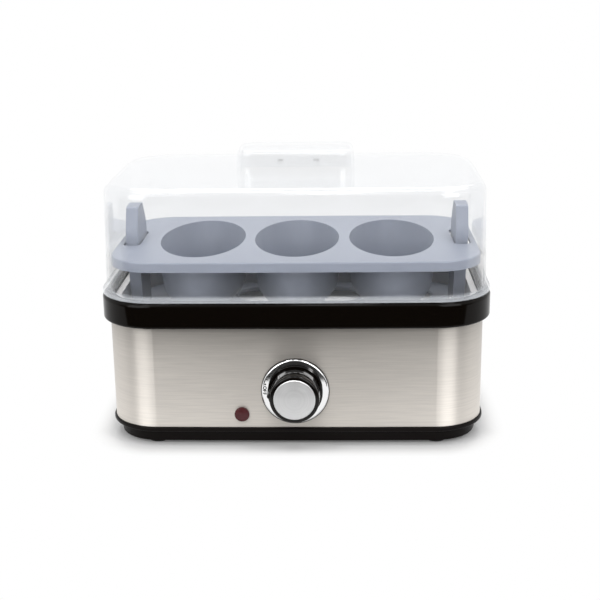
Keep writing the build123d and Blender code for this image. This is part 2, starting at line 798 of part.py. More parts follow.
def make_lamp_lens():
    """Red lens: domed head outside, hollow barrel through the steel."""
    seat = lamp_seat_y()
    brim = seat - lens_thickness
    head = turned([(0, seat), (lens_radius, seat), (lens_radius, brim), (0, brim)])
    sphere = (lens_radius ** 2 + lens_dome ** 2) / (2 * lens_dome)
    dome = Pos(0, brim - lens_dome + sphere, 0) * Sphere(sphere)
    head += dome & bored(lens_radius, brim - lens_dome - 1, brim)
    lens = head + bored(lens_barrel_radius, seat, seat + lens_barrel_length)
    lens -= bored(lens_barrel_radius - lens_wall, seat, seat + lens_barrel_length + 1)
    return Pos(lamp_x, 0, lamp_z) * lens


def make_lamp_clip():
    """Push-on ring that holds the lens from inside."""
    near = wall_y(lens_radius - lamp_x, steel_inset + steel_thickness) + 2 * panel_gap
    ring = bored(lamp_clip_radius, near, near + lamp_clip_thickness)
    ring -= bored(lens_barrel_radius + screw_gap, near - 1, near + lamp_clip_thickness + 1)
    return Pos(lamp_x, 0, lamp_z) * ring


def make_neon_lamp():
    """Glow lamp inside the lens barrel, with its two leads."""
    seat = lamp_seat_y()
    start = seat + screw_gap
    bulb = bored(neon_radius, start, start + neon_length)
    for side in (-1, 1):
        bulb += Pos(side * neon_radius / 2, 0, 0) * bored(
            neon_lead_radius, start + neon_length - 1, start + neon_length + neon_lead_length)
    return Pos(lamp_x, 0, lamp_z) * bulb


# ---------------------------------------------------------------- mains inlet
def make_cord_bushing():
    """Bushing in the rear of the steel, with the bore that a mains lead enters by."""
    outside = -front_y + panel_gap
    bushing = bored(cord_flange_radius, outside, outside + cord_flange_thickness)
    bushing = fillet(bushing.edges().sort_by(Axis.Y)[-1], cord_flange_thickness / 2.2)
    inside = outside - cord_barrel_length
    bushing += bored(cord_barrel_radius, inside, outside)
    bushing -= bored(bushing_bore_radius, inside - 1, outside + cord_flange_thickness + 1)
    return Pos(0, 0, cord_z) * bushing


def make_bushing_lock():
    """Ring that locks the bushing behind the steel."""
    near = -front_inner_y - panel_gap
    ring = bored(cord_lock_radius, near - cord_lock_thickness, near)
    ring -= bored(cord_barrel_radius + screw_gap, near - cord_lock_thickness - 1, near + 1)
    return Pos(0, 0, cord_z) * ring


def make_terminal_block():
    """Moulded block where the mains lead meets the inner wiring."""
    low = floor_top + block_boss_height
    high = low + block_height
    body = block((-block_half_x, block_y - block_half_y, low), (block_half_x, block_y + block_half_y, high))
    body = fillet(body.edges().filter_by(Axis.Z), 1.5)
    for i in range(block_ways):
        x = (i - (block_ways - 1) / 2) * block_pitch
        tunnel = Pos(x, 0, low + block_height / 3) * bored(
            block_wire_radius, block_y - block_half_y - 1, block_y + block_half_y + 1)
        body -= tunnel
        body -= Pos(x, block_y, 0) * upright(block_screw_radius + screw_gap, low + block_height / 3, high)
    for side in (-1, 1):
        body -= Pos(side * block_fix_x, block_y, 0) * upright(block_screw_radius + screw_gap, low, high)
    return body


def make_block_screws():
    """Clamp screws of the ways and the two fixing screws."""
    low = floor_top + block_boss_height
    high = low + block_height
    screws = []
    for i in range(block_ways):
        x = (i - (block_ways - 1) / 2) * block_pitch
        screws.append(Pos(x, block_y, 0) * upright(block_screw_radius, high - block_screw_length, high))
    for side in (-1, 1):
        fix = upright(block_screw_radius, floor_top + 0.5, high)
        fix += upright(block_screw_radius * 1.6, high, high + block_screw_radius)
        screws.append(Pos(side * block_fix_x, block_y, 0) * fix)
    return group(screws)


# ---------------------------------------------------------------- egg rack
def handle_side_view(offset):
    """Handle seen along X, as a face across its width, shrunk by an offset."""
    points = [
        (-handle_foot_half + offset, handle_foot),
        (-handle_shoulder_half + offset, handle_shoulder),
        (-handle_top_half + offset, handle_top - offset),
        (handle_top_half - offset, handle_top - offset),
        (handle_shoulder_half - offset, handle_shoulder),
        (handle_foot_half - offset, handle_foot),
    ]
    face = make_face(Polyline(*points, close=True))
    face = fillet(face.vertices().sort_by(Axis.Y)[2:4], handle_shoulder_radius)
    return fillet(face.vertices().sort_by(Axis.Y)[-2:], handle_top_radius)


def handle_front_view(offset):
    """Handle seen along Y, moved outwards by an offset."""
    return make_face(Polyline(
        (handle_foot_x + offset, handle_foot),
        (rim_half_x - handle_foot_inset + offset, handle_foot),
        (rim_half_x - handle_top_inset + offset, handle_top),
        (handle_top_x + offset, handle_top),
        close=True))


def make_end_handle(side):
    """Upright end handle: a channel that opens outwards, with a stop for the tray."""
    across = Plane(origin=(0, 0, 0), x_dir=(0, 1, 0), z_dir=(1, 0, 0))
    along = Plane(origin=(0, rim_half_y, 0), x_dir=(1, 0, 0), z_dir=(0, -1, 0))

    def body(offset):
        return (across * extrude(handle_side_view(offset), rim_half_x)) & (
            along * extrude(handle_front_view(offset), 2 * rim_half_y))

    pocket = body(handle_wall) & block((0, -rim_half_y, rack_top), (rim_half_x, rim_half_y, handle_top))
    handle = body(0) - pocket
    low = Pos(stop_x, 0, stop_top - stop_height) * Rectangle(handle_wall, 2 * stop_half)
    high = Pos(stop_x - stop_reach / 2, 0, stop_top) * Rectangle(
        handle_wall + stop_reach, 2 * stop_half)
    handle += loft([low, high], ruled=True)
    return handle if side > 0 else mirror(handle, Plane.YZ)


def egg_places():
    """Centres of the egg holes."""
    for i in range(egg_columns):
        for j in range(egg_rows):
            yield ((i - (egg_columns - 1) / 2) * egg_pitch_x, (j - (egg_rows - 1) / 2) * egg_pitch_y)


def make_egg_rack():
    """Moulded rack: plate with egg holes on a flared skirt, and two end handles."""
    rack = drafted(rack_foot_inset, rack_foot, rack_top_inset, rack_top)
    rack = fillet(rack.faces().sort_by(Axis.Z)[-1].edges(), rack_edge)
    rack -= drafted(rack_foot_inset + rack_wall, rack_foot, rack_top_inset + rack_wall,
                    rack_top - rack_plate)
    chamfered = Pos(0, 0, rack_top - egg_hole_chamfer) * Cone(
        egg_hole_radius, egg_hole_radius + egg_hole_chamfer, egg_hole_chamfer,
        align=(Align.CENTER, Align.CENTER, Align.MIN))
    for x, y in egg_places():
        rack -= Pos(x, y, 0) * (upright(egg_hole_radius, rack_foot, rack_top) + chamfered)
    for side in (-1, 1):
        rack += make_end_handle(side)
    return rack


# ---------------------------------------------------------------- poaching tray
def cup(grow, floor, top):
    """One long oval cup as a solid, grown outwards by its wall."""
    floor_oval = Pos(0, 0, floor) * Ellipse(cup_floor_x + grow, cup_floor_y + grow)
    mouth_oval = Pos(0, 0, top) * Ellipse(cup_half_x + grow, cup_half_y + grow)
    solid = loft([floor_oval, mouth_oval], ruled=True)
    return fillet(solid.faces().sort_by(Axis.Z)[0].edges(), cup_round + grow)


def make_poaching_tray():
    """Tray with three drawn oval cups, a turned-down lip and slots for the handles."""
    tray = prism(tray_inset, tray_top - tray_lip_height, tray_top)
    tray = fillet(tray.faces().sort_by(Axis.Z)[-1].edges(), tray_edge)
    tray -= prism(tray_inset + tray_lip_wall, tray_top - tray_lip_height, tray_underside)
    places = [(i - (cup_count - 1) / 2) * cup_pitch for i in range(cup_count)]
    for x in places:
        tray += Pos(x, 0, 0) * cup(cup_wall, cup_underside, tray_top - tray_plate / 2)
    for x in places:
        tray -= Pos(x, 0, 0) * cup(0, cup_floor, tray_top)
    slot = RectangleRounded(slot_out - slot_in, 2 * slot_half_y, 3)
    for side in (-1, 1):
        place = Pos(side * (slot_in + slot_out) / 2, 0, tray_top - tray_lip_height)
        tray -= extrude(place * slot, tray_lip_height)
    return tray


# ---------------------------------------------------------------- lid
def lid_handle(shrink, low, high):
    """Raised handle moulded in the lid's top, as a solid."""
    foot = Pos(0, 0, low) * RectangleRounded(
        2 * (lid_handle_half_x - shrink), 2 * (lid_handle_half_y - shrink), lid_handle_corner - shrink)
    top = Pos(0, 0, high) * RectangleRounded(
        2 * (lid_handle_half_x - lid_handle_draft - shrink),
        2 * (lid_handle_half_y - lid_handle_draft - shrink),
        lid_handle_corner - lid_handle_draft - shrink)
    solid = loft([foot, top], ruled=True)
    return fillet(solid.faces().sort_by(Axis.Z)[-1].edges(), lid_handle_edge - shrink / 2)


def make_lid():
    """Clear lid: drafted walls, rounded shoulders, foot flange and hollow handle."""
    handle_top_z = lid_top + lid_handle_height
    outer = drafted(lid_foot_inset, lid_foot, lid_top_inset, lid_top)
    outer = fillet(outer.faces().sort_by(Axis.Z)[-1].edges(), lid_shoulder)
    inner = drafted(lid_foot_inset + lid_wall, lid_foot, lid_top_inset + lid_wall, lid_top - lid_wall)
    inner = fillet(inner.faces().sort_by(Axis.Z)[-1].edges(), lid_shoulder - lid_wall)
    flange = prism(lid_flange_inset, lid_foot, lid_foot + lid_flange_height)
    flange = fillet(flange.faces().sort_by(Axis.Z)[-1].edges(), lid_flange_edge)
    shell = outer + flange + lid_handle(0, lid_top - lid_wall, handle_top_z)
    shell -= inner
    shell -= lid_handle(lid_wall, lid_top - 2 * lid_wall, handle_top_z - lid_wall)
    for side in (-1, 1):
        shell -= Pos(side * steam_hole_x, steam_hole_y, 0) * upright(
            steam_hole_radius, lid_top - 2 * lid_wall, lid_top + 1)
    return shell


# ---------------------------------------------------------------- all the pieces
pieces = {
    "base_pan": make_base_pan,
    "feet": make_feet,
    "tie_screws": make_tie_screws,
    "steel_housing": make_steel_housing,
    "rim_bezel": make_rim_bezel,
    "heating_bowl": make_heating_bowl,
    "bowl_seal": make_bowl_seal,
    "heat_spreader": make_heat_spreader,
    "heating_element": make_heating_element,
    "bowl_studs": make_bowl_studs,
    "clamp_straps": make_clamp_straps,
    "strap_nuts": make_strap_nuts,
    "thermostat": make_thermostat,
    "thermostat_bracket": make_thermostat_bracket,
    "heater_screws": make_heater_screws,
    "thermal_fuse": make_thermal_fuse,
    "fuse_clip": make_fuse_clip,
    "timer_plate": make_timer_plate,
    "timer_case": make_timer_case,
    "timer_terminals": make_timer_terminals,
    "control_nut": make_control_nut,
    "dial_ring": make_dial_ring,
    "timer_shaft": make_timer_shaft,
    "knob_body": make_knob_body,
    "knob_clip": make_knob_clip,
    "knob_cap": make_knob_cap,
    "lamp_lens": make_lamp_lens,
    "lamp_clip": make_lamp_clip,
    "neon_lamp": make_neon_lamp,
    "cord_bushing": make_cord_bushing,
    "bushing_lock": make_bushing_lock,
    "terminal_block": make_terminal_block,
    "block_screws": make_block_screws,
    "egg_rack": make_egg_rack,
    "poaching_tray": make_poaching_tray,
    "lid": make_lid,
}

for name, make in pieces.items():
    export_step(Pos(0, centre_shift, 0) * make(), f"parts/{name}.step")
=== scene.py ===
"""Egg cooker with a poaching tray: finishes, dial lettering, studio and camera.

Metres, +Z up, -Y is the front with the knob. Sizes come from the fixed frame.
"""
import json
from math import cos, pi, radians, sin

import bpy
from mathutils import Matrix, Vector


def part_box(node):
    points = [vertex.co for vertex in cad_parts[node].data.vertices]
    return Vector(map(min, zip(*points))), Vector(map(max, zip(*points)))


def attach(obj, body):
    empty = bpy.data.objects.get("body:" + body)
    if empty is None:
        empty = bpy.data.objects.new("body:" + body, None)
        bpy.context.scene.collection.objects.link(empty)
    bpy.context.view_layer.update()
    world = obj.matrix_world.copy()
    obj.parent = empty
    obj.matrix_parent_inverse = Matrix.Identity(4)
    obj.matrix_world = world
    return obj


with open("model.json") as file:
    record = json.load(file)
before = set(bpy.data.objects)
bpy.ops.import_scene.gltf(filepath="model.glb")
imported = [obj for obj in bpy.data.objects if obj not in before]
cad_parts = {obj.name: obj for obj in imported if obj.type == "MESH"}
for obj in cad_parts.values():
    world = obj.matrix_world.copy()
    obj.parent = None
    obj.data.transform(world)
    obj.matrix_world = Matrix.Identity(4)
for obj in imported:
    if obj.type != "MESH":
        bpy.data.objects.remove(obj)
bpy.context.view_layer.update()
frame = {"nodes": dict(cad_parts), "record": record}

nodes = frame["nodes"]
scene = bpy.context.scene

# ---------------------------------------------------------------- camera
picture_width = 600            # pixels, square frame
focal_pixels = 1170.5          # focal length in pixels of that frame
sensor_mm = 36.0
camera_place = Vector((0.02771, -0.72875, 0.29025))
camera_yaw = -0.03607          # radians, turned towards -X
camera_pitch = 0.28577         # radians, looking down
camera_roll = -0.01412         # radians

# ---------------------------------------------------------------- studio
floor_half = 3.0
floor_albedo = 0.72
floor_clear = 0.016            # distance from the cooker where the floor's shadow has gone
floor_lift = 0.06              # share of plain white that the floor shows under the cooker
table_edge = -0.176            # metal sees the table lit from the rear to here,
table_edge_soft = 0.012        # over this width,
table_front = 0.06             # and this share of it in front of there
sky_level = 0.62               # soft light from above and behind
front_share = 0.30             # share of it that comes from the front
front_level = 0.14             # how bright the room in front of the cooker looks in its metal
sky_turn = (-0.75, 0.25)       # where the front of the room changes into its rear
sky_height_share = 0.8         # how much looking up counts as looking to the rear

lamp_aim = (0.0, 0.0, 0.08)
softboxes = (
    # name, angle to the right of the front, angle above level,
    # distance, width, height, brightness
    ("left softbox", -37, 24, 1.8, 1.15, 1.3, 2.9),
    ("right softbox", 34, 24, 1.8, 1.15, 1.3, 2.9),
    ("rear softbox", 176, 58, 1.6, 1.3, 1.2, 3.6),
    ("upper softbox", 2, 66, 1.5, 0.16, 0.35, 8.0),
    ("upper left softbox", -48, 66, 1.5, 0.26, 0.4, 8.0),
    ("upper right softbox", 52, 62, 1.5, 0.26, 0.4, 8.0),
)
corner_round = 0.030           # of the cooker's footprint, for the floor's shadow

# ---------------------------------------------------------------- steel
steel_colour = (0.74, 0.70, 0.65)
steel_roughness = 0.48
steel_painted_shade_stops = (                # height from the sleeve's foot to its top, and the painted brightness there: a painted reflection lightens the foot, painted shade darkens it under the rim
    (0.00, 1.10), (0.35, 1.00), (0.70, 0.88), (0.90, 0.72), (1.00, 0.58),
)
hairline_stretch = (60, 60, 4200)      # noise cells per metre: long and very thin
streak_stretch = (45, 45, 1100)
streak_tone = (0.82, 0.36)     # darkest streak, and how far the palest is over it
hairline_lean = 0.10           # how far a hairline leans the surface

# ---------------------------------------------------------------- knob's cap
ring_scale = 9000              # turned rings per metre, about
band_scale = 900
ring_lean = 1.3                # how far a ring leans the surface

# ---------------------------------------------------------------- lid
milky_stops = (                # height over the lid's foot, share of milky scattering there
    (0.0000, 0.26), (0.0024, 0.25), (0.0036, 0.03),
    (0.0180, 0.01), (0.0400, 0.05), (0.0700, 0.02),
)

# ---------------------------------------------------------------- dial
dial_rim_from = 0.0193         # radius where the plate's rim starts to roll back
dial_shade_line_from = 0.0203        # radius of the painted shade line round it, standing in for the shadow of the gap
dial_shade_line_edge = 0.0001        # width over which the painted shade line starts
dial_rim_lean = 1.3            # how far the rim leans outwards

# ---------------------------------------------------------------- dial lettering
letter_height = 0.00215
letter_size = letter_height * 1.35     # of the font, for capitals of that height
letter_bold = 0.00010
letter_thickness = 0.00006
letter_radius = 0.0187         # from the dial's centre
letter_angles = (173.0, 178.6, 184.2)
dot_angle = 165.8
dot_radius = 0.00055
dot_sides = 16
tick_angles = (156.0, 148.0, 140.0, 132.0)
tick_length = 0.0015
tick_width = 0.00045


# ---------------------------------------------------------------- shader maths
class Shade:
    """A shader socket that takes part in plain arithmetic."""

    def __init__(self, finish, socket):
        self.finish = finish
        self.socket = socket

    def maths(self, operation, first, second):
        return self.finish.node("ShaderNodeMath", {"operation": operation}, {0: first, 1: second})

    def __add__(self, other):
        return self.maths("ADD", self, other)

    def __radd__(self, other):
        return self.maths("ADD", other, self)

    def __sub__(self, other):
        return self.maths("SUBTRACT", self, other)

    def __rsub__(self, other):
        return self.maths("SUBTRACT", other, self)

    def __mul__(self, other):
        return self.maths("MULTIPLY", self, other)

    def __rmul__(self, other):
        return self.maths("MULTIPLY", other, self)

    def __truediv__(self, other):
        return self.maths("DIVIDE", self, other)

    def __pow__(self, other):
        return self.maths("POWER", self, other)


class Finish:
    """One procedural material: makes nodes and wires them."""

    def __init__(self, name, **plain):
        self.material = bpy.data.materials.new(name)
        self.material.use_nodes = True
        self.tree = self.material.node_tree
        self.surface = self.tree.nodes["Principled BSDF"]
        self.output = self.tree.nodes["Material Output"]
        for socket, value in plain.items():
            self.set(socket.replace("_", " "), value)

    def feed(self, socket, value):
        """Links a shade to a socket, or sets the socket to a plain value."""
        if isinstance(value, Shade):
            self.tree.links.new(value.socket, socket)
        elif isinstance(value, (tuple, list)) and len(value) == 3 and socket.type == "RGBA":
            socket.default_value = (*value, 1.0)
        else:
            socket.default_value = value

    def node(self, kind, settings=None, sockets=None, out=0):
        """Adds a node: its settings first, then the values or links of its sockets."""
        made = self.tree.nodes.new(kind)
        for name, value in (settings or {}).items():
            if name == "stops":
                fill_ramp(made.color_ramp, value)
            else:
                setattr(made, name, value)
        for name, value in (sockets or {}).items():
            self.feed(made.inputs[name], value)
        return Shade(self, made.outputs[out])

    def set(self, socket, value):
        self.feed(self.surface.inputs[socket], value)

    def place(self):
        """Position on the piece, in metres at rest."""
        return self.node("ShaderNodeTexCoord", out="Object")

    def part(self, vector, axis):
        return self.node("ShaderNodeSeparateXYZ", None, {0: vector}, out=axis)

    def noise(self, scale, detail=2.0, stretch=None):
        """Smooth noise over the piece, from 0 to 1."""
        where = self.place()
        if stretch:
            where = self.node("ShaderNodeVectorMath", {"operation": "MULTIPLY"},
                              {0: where, 1: stretch})
        return self.node("ShaderNodeTexNoise", None,
                         {"Vector": where, "Scale": scale, "Detail": detail})

    def bump(self, height, distance, strength=1.0):
        self.set("Normal", self.node("ShaderNodeBump", None,
                                     {"Strength": strength, "Distance": distance, "Height": height},
                                     out="Normal"))

    def lean(self, direction, amount):
        """Tilts the surface along a direction in the piece's space, by an amount that varies."""
        along = self.node("ShaderNodeVectorMath", {"operation": "SCALE"},
                          {0: direction, "Scale": amount})
        spaces = {"vector_type": "VECTOR", "convert_from": "OBJECT", "convert_to": "WORLD"}
        turned = self.node("ShaderNodeVectorTransform", spaces, {0: along})
        normal = self.node("ShaderNodeNewGeometry", out="Normal")
        summed = self.node("ShaderNodeVectorMath", {"operation": "ADD"}, {0: normal, 1: turned})
        self.set("Normal", self.node("ShaderNodeVectorMath", {"operation": "NORMALIZE"},
                                     {0: summed}))

    def tint(self, amount, colour):
        """Colour scaled by an amount that varies."""
        return self.node("ShaderNodeVectorMath", {"operation": "SCALE"},
                         {0: colour, "Scale": amount})

    def blend(self, mask, first, second):
        """Colour that goes from first to second with the mask."""
        return self.node("ShaderNodeMix", {"data_type": "RGBA"},
                         {0: mask, 6: first, 7: second}, out=2)


def fill_ramp(ramp, stops):
    """Sets a colour ramp's stops from (position, grey) pairs."""
    while len(ramp.elements) < len(stops):
        ramp.elements.new(1.0)
    for element, (position, value) in zip(ramp.elements, stops):
        element.position = position
        element.color = (value, value, value, 1.0)


# ---------------------------------------------------------------- finishes
def moulded(name, colour, roughness, grain=0.00003, **plain):
    """Satin moulding with a fine spark-eroded grain."""
    finish = Finish(name, **plain)
    grit = finish.noise(1600, 3.0)
    cloud = finish.noise(18, 2.0)
    finish.set("Base Color", finish.blend(cloud, tuple(0.94 * c for c in colour), colour))
    finish.set("Roughness", roughness + 0.10 * (grit - 0.5))
    finish.bump(grit, grain)
    return finish.material


def gloss_black(name, mirror):
    """High-gloss black moulding with the faint haze of handling."""
    finish = Finish(name, Specular_IOR_Level=mirror)
    haze = finish.noise(30, 3.0)
    finish.set("Base Color", (0.0024, 0.0016, 0.0010))
    finish.set("Roughness", 0.06 + 0.05 * haze)
    return finish.material


def rolled_metal(name, colour, roughness, mottle=0.12, grain=0.000004):
    """Plain sheet, plated or rolled, with a slight mottle."""
    finish = Finish(name, Metallic=1.0)
    mottled = finish.noise(60, 3.0)
    finish.set("Base Color", finish.blend(mottled, tuple((1 - mottle) * c for c in colour), colour))
    finish.set("Roughness", roughness + 0.12 * (mottled - 0.5))
    finish.bump(finish.noise(900, 2.0), grain)
    return finish.material


def brushed_steel():
    """Stainless sleeve brushed round its length, with long hairlines, painted shade darkening it
    under the rim and a painted reflection lightening its foot.
    """
    finish = Finish("brushed steel", Metallic=1.0, Anisotropic=0.9, Anisotropic_Rotation=0.25)
    hairline = finish.noise(1.0, 2.0, stretch=hairline_stretch)
    streak = finish.noise(1.0, 3.0, stretch=streak_stretch)
    cloud = finish.noise(14, 3.0)
    low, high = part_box("steel_housing")
    height = (finish.part(finish.place(), "Z") - low.z) / (high.z - low.z)
    # painted shade and light by height: the colour darkens towards the rim above and lightens at
    # the foot
    depth = finish.node("ShaderNodeValToRGB", {"stops": steel_painted_shade_stops}, {"Fac": height})
    tone = (0.70 * streak + 0.30 * cloud) * streak_tone[1] + streak_tone[0]
    finish.set("Base Color", finish.tint(depth * tone, steel_colour))
    finish.set("Roughness", steel_roughness + 0.08 * (streak - 0.5))
    finish.lean((0, 0, 1), hairline_lean * (hairline - 0.5))
    return finish.material


def from_axis(finish, node):
    """Outward direction and distance from the middle of a round piece that faces the front."""
    low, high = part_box(node)
    where = finish.node("ShaderNodeVectorMath", {"operation": "SUBTRACT"},
                        {0: finish.place(), 1: tuple((low + high) / 2)})
    across = finish.node("ShaderNodeVectorMath", {"operation": "MULTIPLY"},
                         {0: where, 1: (1, 0, 1)})
    outward = finish.node("ShaderNodeVectorMath", {"operation": "NORMALIZE"}, {0: across})
    radius = finish.node("ShaderNodeVectorMath", {"operation": "LENGTH"}, {0: across}, out="Value")
    return outward, radius


def spun_aluminium():
    """Disc turned on a lathe: concentric rings lean the surface in and out."""
    finish = Finish("spun aluminium", Metallic=1.0)
    outward, radius = from_axis(finish, "knob_cap")
    rings = finish.node("ShaderNodeTexNoise", {"noise_dimensions": "1D"},
                        {"W": radius, "Scale": ring_scale, "Detail": 1.0})
    bands = finish.node("ShaderNodeTexNoise", {"noise_dimensions": "1D"},
                        {"W": radius, "Scale": band_scale, "Detail": 2.0})
    finish.set("Base Color", finish.blend(bands, (0.80, 0.80, 0.80), (0.93, 0.93, 0.93)))
    finish.set("Roughness", 0.30)
    finish.lean(outward, ring_lean * (rings - 0.5))
    return finish.material


def mirror_dial():
    """Plated scale plate, mirror bright, with a rolled rim and a painted shade line round it for
    the shadow in the gap.
    """
    finish = Finish("mirror dial", Metallic=1.0)
    outward, radius = from_axis(finish, "dial_ring")
    haze = finish.noise(40, 2.0)
    painted_gap_shade = finish.node("ShaderNodeMapRange", None,
                       {"Value": radius, "From Min": dial_shade_line_from,
                        "From Max": dial_shade_line_from + dial_shade_line_edge})
    rolled = finish.node("ShaderNodeMapRange", None,
                         {"Value": radius, "From Min": dial_rim_from, "From Max": dial_shade_line_from,
                          "To Max": dial_rim_lean})
    # painted shade: past this radius the plate turns near black, for the shadow in the gap round it
    finish.set("Base Color", finish.blend(painted_gap_shade, (0.90, 0.90, 0.90), (0.02, 0.018, 0.016)))
    finish.set("Roughness", 0.035 + 0.03 * haze + 0.3 * painted_gap_shade)
    finish.lean(outward, rolled)
    return finish.material


def red_lens():
    """Dark red moulded lens, unlit."""
    finish = Finish("red lens", Specular_IOR_Level=0.25)
    cloud = finish.noise(500, 2.0)
    finish.set("Base Color", finish.blend(cloud, (0.045, 0.010, 0.012), (0.075, 0.018, 0.020)))
    finish.set("Roughness", 0.18 + 0.08 * cloud)
    return finish.material


def clear_moulding(name, tint, straight_on, roughness):
    """Thin clear plastic: straight through in the middle, mirroring at a glance."""
    finish = Finish(name, Metallic=1.0, Roughness=roughness)
    finish.set("Base Color", (0.98, 0.985, 0.99))
    mirror = Shade(finish, finish.surface.outputs[0])
    through = finish.node("ShaderNodeBsdfTransparent", None, {"Color": tint})
    glance = finish.node("ShaderNodeLayerWeight", None, {"Blend": 0.5}, out="Facing")
    mirrored = glance ** 5 * (1 - straight_on) + straight_on
    mixed = finish.node("ShaderNodeMixShader", None, {0: mirrored, 1: through, 2: mirror})
    finish.feed(finish.output.inputs["Surface"], mixed)
    return finish, mixed


def clear_lid():
    """Clear lid whose thick foot flange looks milky, with a faint haze in its upper walls."""
    finish, clear = clear_moulding("clear lid", (0.993, 0.994, 0.995), 0.035, 0.10)
    milky = finish.node("ShaderNodeBsdfDiffuse", None, {"Color": (0.74, 0.77, 0.81)})
    low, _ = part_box("lid")
    tall = milky_stops[-1][0]
    height = (finish.part(finish.place(), "Z") - low.z) / tall
    stops = [(z / tall, milkiness) for z, milkiness in milky_stops]
    share = finish.node("ShaderNodeValToRGB", {"stops": stops}, {"Fac": height})
    mixed = finish.node("ShaderNodeMixShader", None, {0: share, 1: clear, 2: milky})
    finish.feed(finish.output.inputs["Surface"], mixed)
    return finish.material


finishes = {
    "black_moulding": moulded("satin black moulding", (0.0045, 0.0032, 0.0028), 0.34,
                              Specular_IOR_Level=0.08),
    "rubber_black": moulded("black rubber", (0.010, 0.010, 0.010), 0.75, 0.00005),
    "zinc_steel": rolled_metal("bright zinc steel", (0.66, 0.67, 0.68), 0.30),
    "brushed_steel": brushed_steel(),
    "black_gloss": gloss_black("gloss black", 0.12),
    "stainless_bowl": rolled_metal("drawn stainless", (0.88, 0.86, 0.84), 0.48, 0.06),
    "silicone_seal": moulded("silicone", (0.62, 0.60, 0.57), 0.45),
    "aluminium_plate": rolled_metal("rolled aluminium", (0.78, 0.78, 0.79), 0.36),
    "element_sheath": rolled_metal("element sheath", (0.56, 0.56, 0.58), 0.42),
    "zinc_sheet": rolled_metal("zinc sheet", (0.60, 0.62, 0.62), 0.34, 0.2),
    "phenolic_brown": moulded("brown phenolic", (0.060, 0.028, 0.018), 0.42),
    "fuse_metal": rolled_metal("fuse can", (0.70, 0.67, 0.62), 0.32),
    "timer_white": moulded("white nylon", (0.72, 0.71, 0.68), 0.50),
    "brass_tabs": rolled_metal("brass", (0.78, 0.60, 0.30), 0.28),
    "mirror_dial": mirror_dial(),
    "spring_steel": rolled_metal("spring steel", (0.36, 0.37, 0.40), 0.34),
    "spun_aluminium": spun_aluminium(),
    "red_lens": red_lens(),
    "lamp_glass": clear_moulding("lamp glass", (0.93, 0.90, 0.86), 0.05, 0.03)[0].material,
    "block_white": moulded("white block", (0.74, 0.74, 0.72), 0.55),
    "grey_moulding": moulded("satin grey moulding", (0.27, 0.295, 0.36), 0.38),
    "clear_lid": clear_lid(),
}


def dress(node, material):
    """Gives a CAD node its finish in every material slot."""
    for place in nodes[node].material_slots:
        place.material = material


for subpart in frame["record"]["subparts"]:
    dress(subpart["node"], finishes[subpart["material_slot"]])
dress("knob_body", gloss_black("knob black", 0.26))


# ---------------------------------------------------------------- dial lettering
def add_mesh(name, corners, faces, slot, body):
    """A new piece from corners and faces, riding on a body."""
    mesh = bpy.data.meshes.new(name)
    mesh.from_pydata(corners, [], faces)
    mesh.materials.append(finishes[slot])
    piece = bpy.data.objects.new(name, mesh)
    scene.collection.objects.link(piece)
    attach(piece, body)
    return piece


dial_low, dial_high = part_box("dial_ring")
dial_middle = (dial_low + dial_high) / 2
dial_face_y = dial_low.y


def outward_at(angle):
    """Direction out from the dial's middle, angle in degrees from +X as seen from the front."""
    return Vector((cos(radians(angle)), 0, sin(radians(angle))))


def dial_point(angle, radius):
    """Point on the dial's face."""
    return Vector((dial_middle.x, dial_face_y, dial_middle.z)) + radius * outward_at(angle)


def print_flat(name, outline):
    """Thin printed patch on the dial from its outline of points."""
    count = len(outline)
    back = [tuple(p) for p in outline]
    front = [(p.x, p.y - letter_thickness, p.z) for p in outline]
    sides = [(i, (i + 1) % count, count + (i + 1) % count, count + i) for i in range(count)]
    faces = [tuple(range(count - 1, -1, -1)), tuple(range(count, 2 * count))] + sides
    return add_mesh(name, back + front, faces, "black_gloss", "cooker_base")


def print_letter(name, letter, angle):
    """One letter on the dial, its top towards the knob."""
    curve = bpy.data.curves.new(name, "FONT")
    curve.body = letter
    curve.size = letter_size
    curve.align_x = "CENTER"
    curve.align_y = "CENTER"
    curve.extrude = letter_thickness / 2
    curve.offset = letter_bold
    curve.materials.append(finishes["black_gloss"])
    piece = bpy.data.objects.new(name, curve)
    scene.collection.objects.link(piece)
    inward = -outward_at(angle)
    along = inward.cross(Vector((0, -1, 0)))
    turn = Matrix((along, inward, Vector((0, -1, 0)))).transposed()
    at = dial_point(angle, letter_radius) + Vector((0, -letter_thickness / 2, 0))
    piece.matrix_world = Matrix.Translation(at) @ turn.to_4x4()
    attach(piece, "cooker_base")


for number, (letter, angle) in enumerate(zip("OFF", letter_angles), 1):
    print_letter(f"dial_letter_{number}", letter, angle)

dot_turns = [2 * pi * i / dot_sides for i in range(dot_sides)]
print_flat("dial_dot", [dial_point(dot_angle, letter_radius)
                        + dot_radius * Vector((cos(turn), 0, sin(turn))) for turn in dot_turns])

for number, angle in enumerate(tick_angles, 1):
    outward = outward_at(angle) * tick_length / 2
    across = Vector((-sin(radians(angle)), 0, cos(radians(angle)))) * tick_width / 2
    centre = dial_point(angle, letter_radius)
    print_flat(f"dial_tick_{number}", [centre - outward - across, centre + outward - across,
                                       centre + outward + across, centre - outward + across])


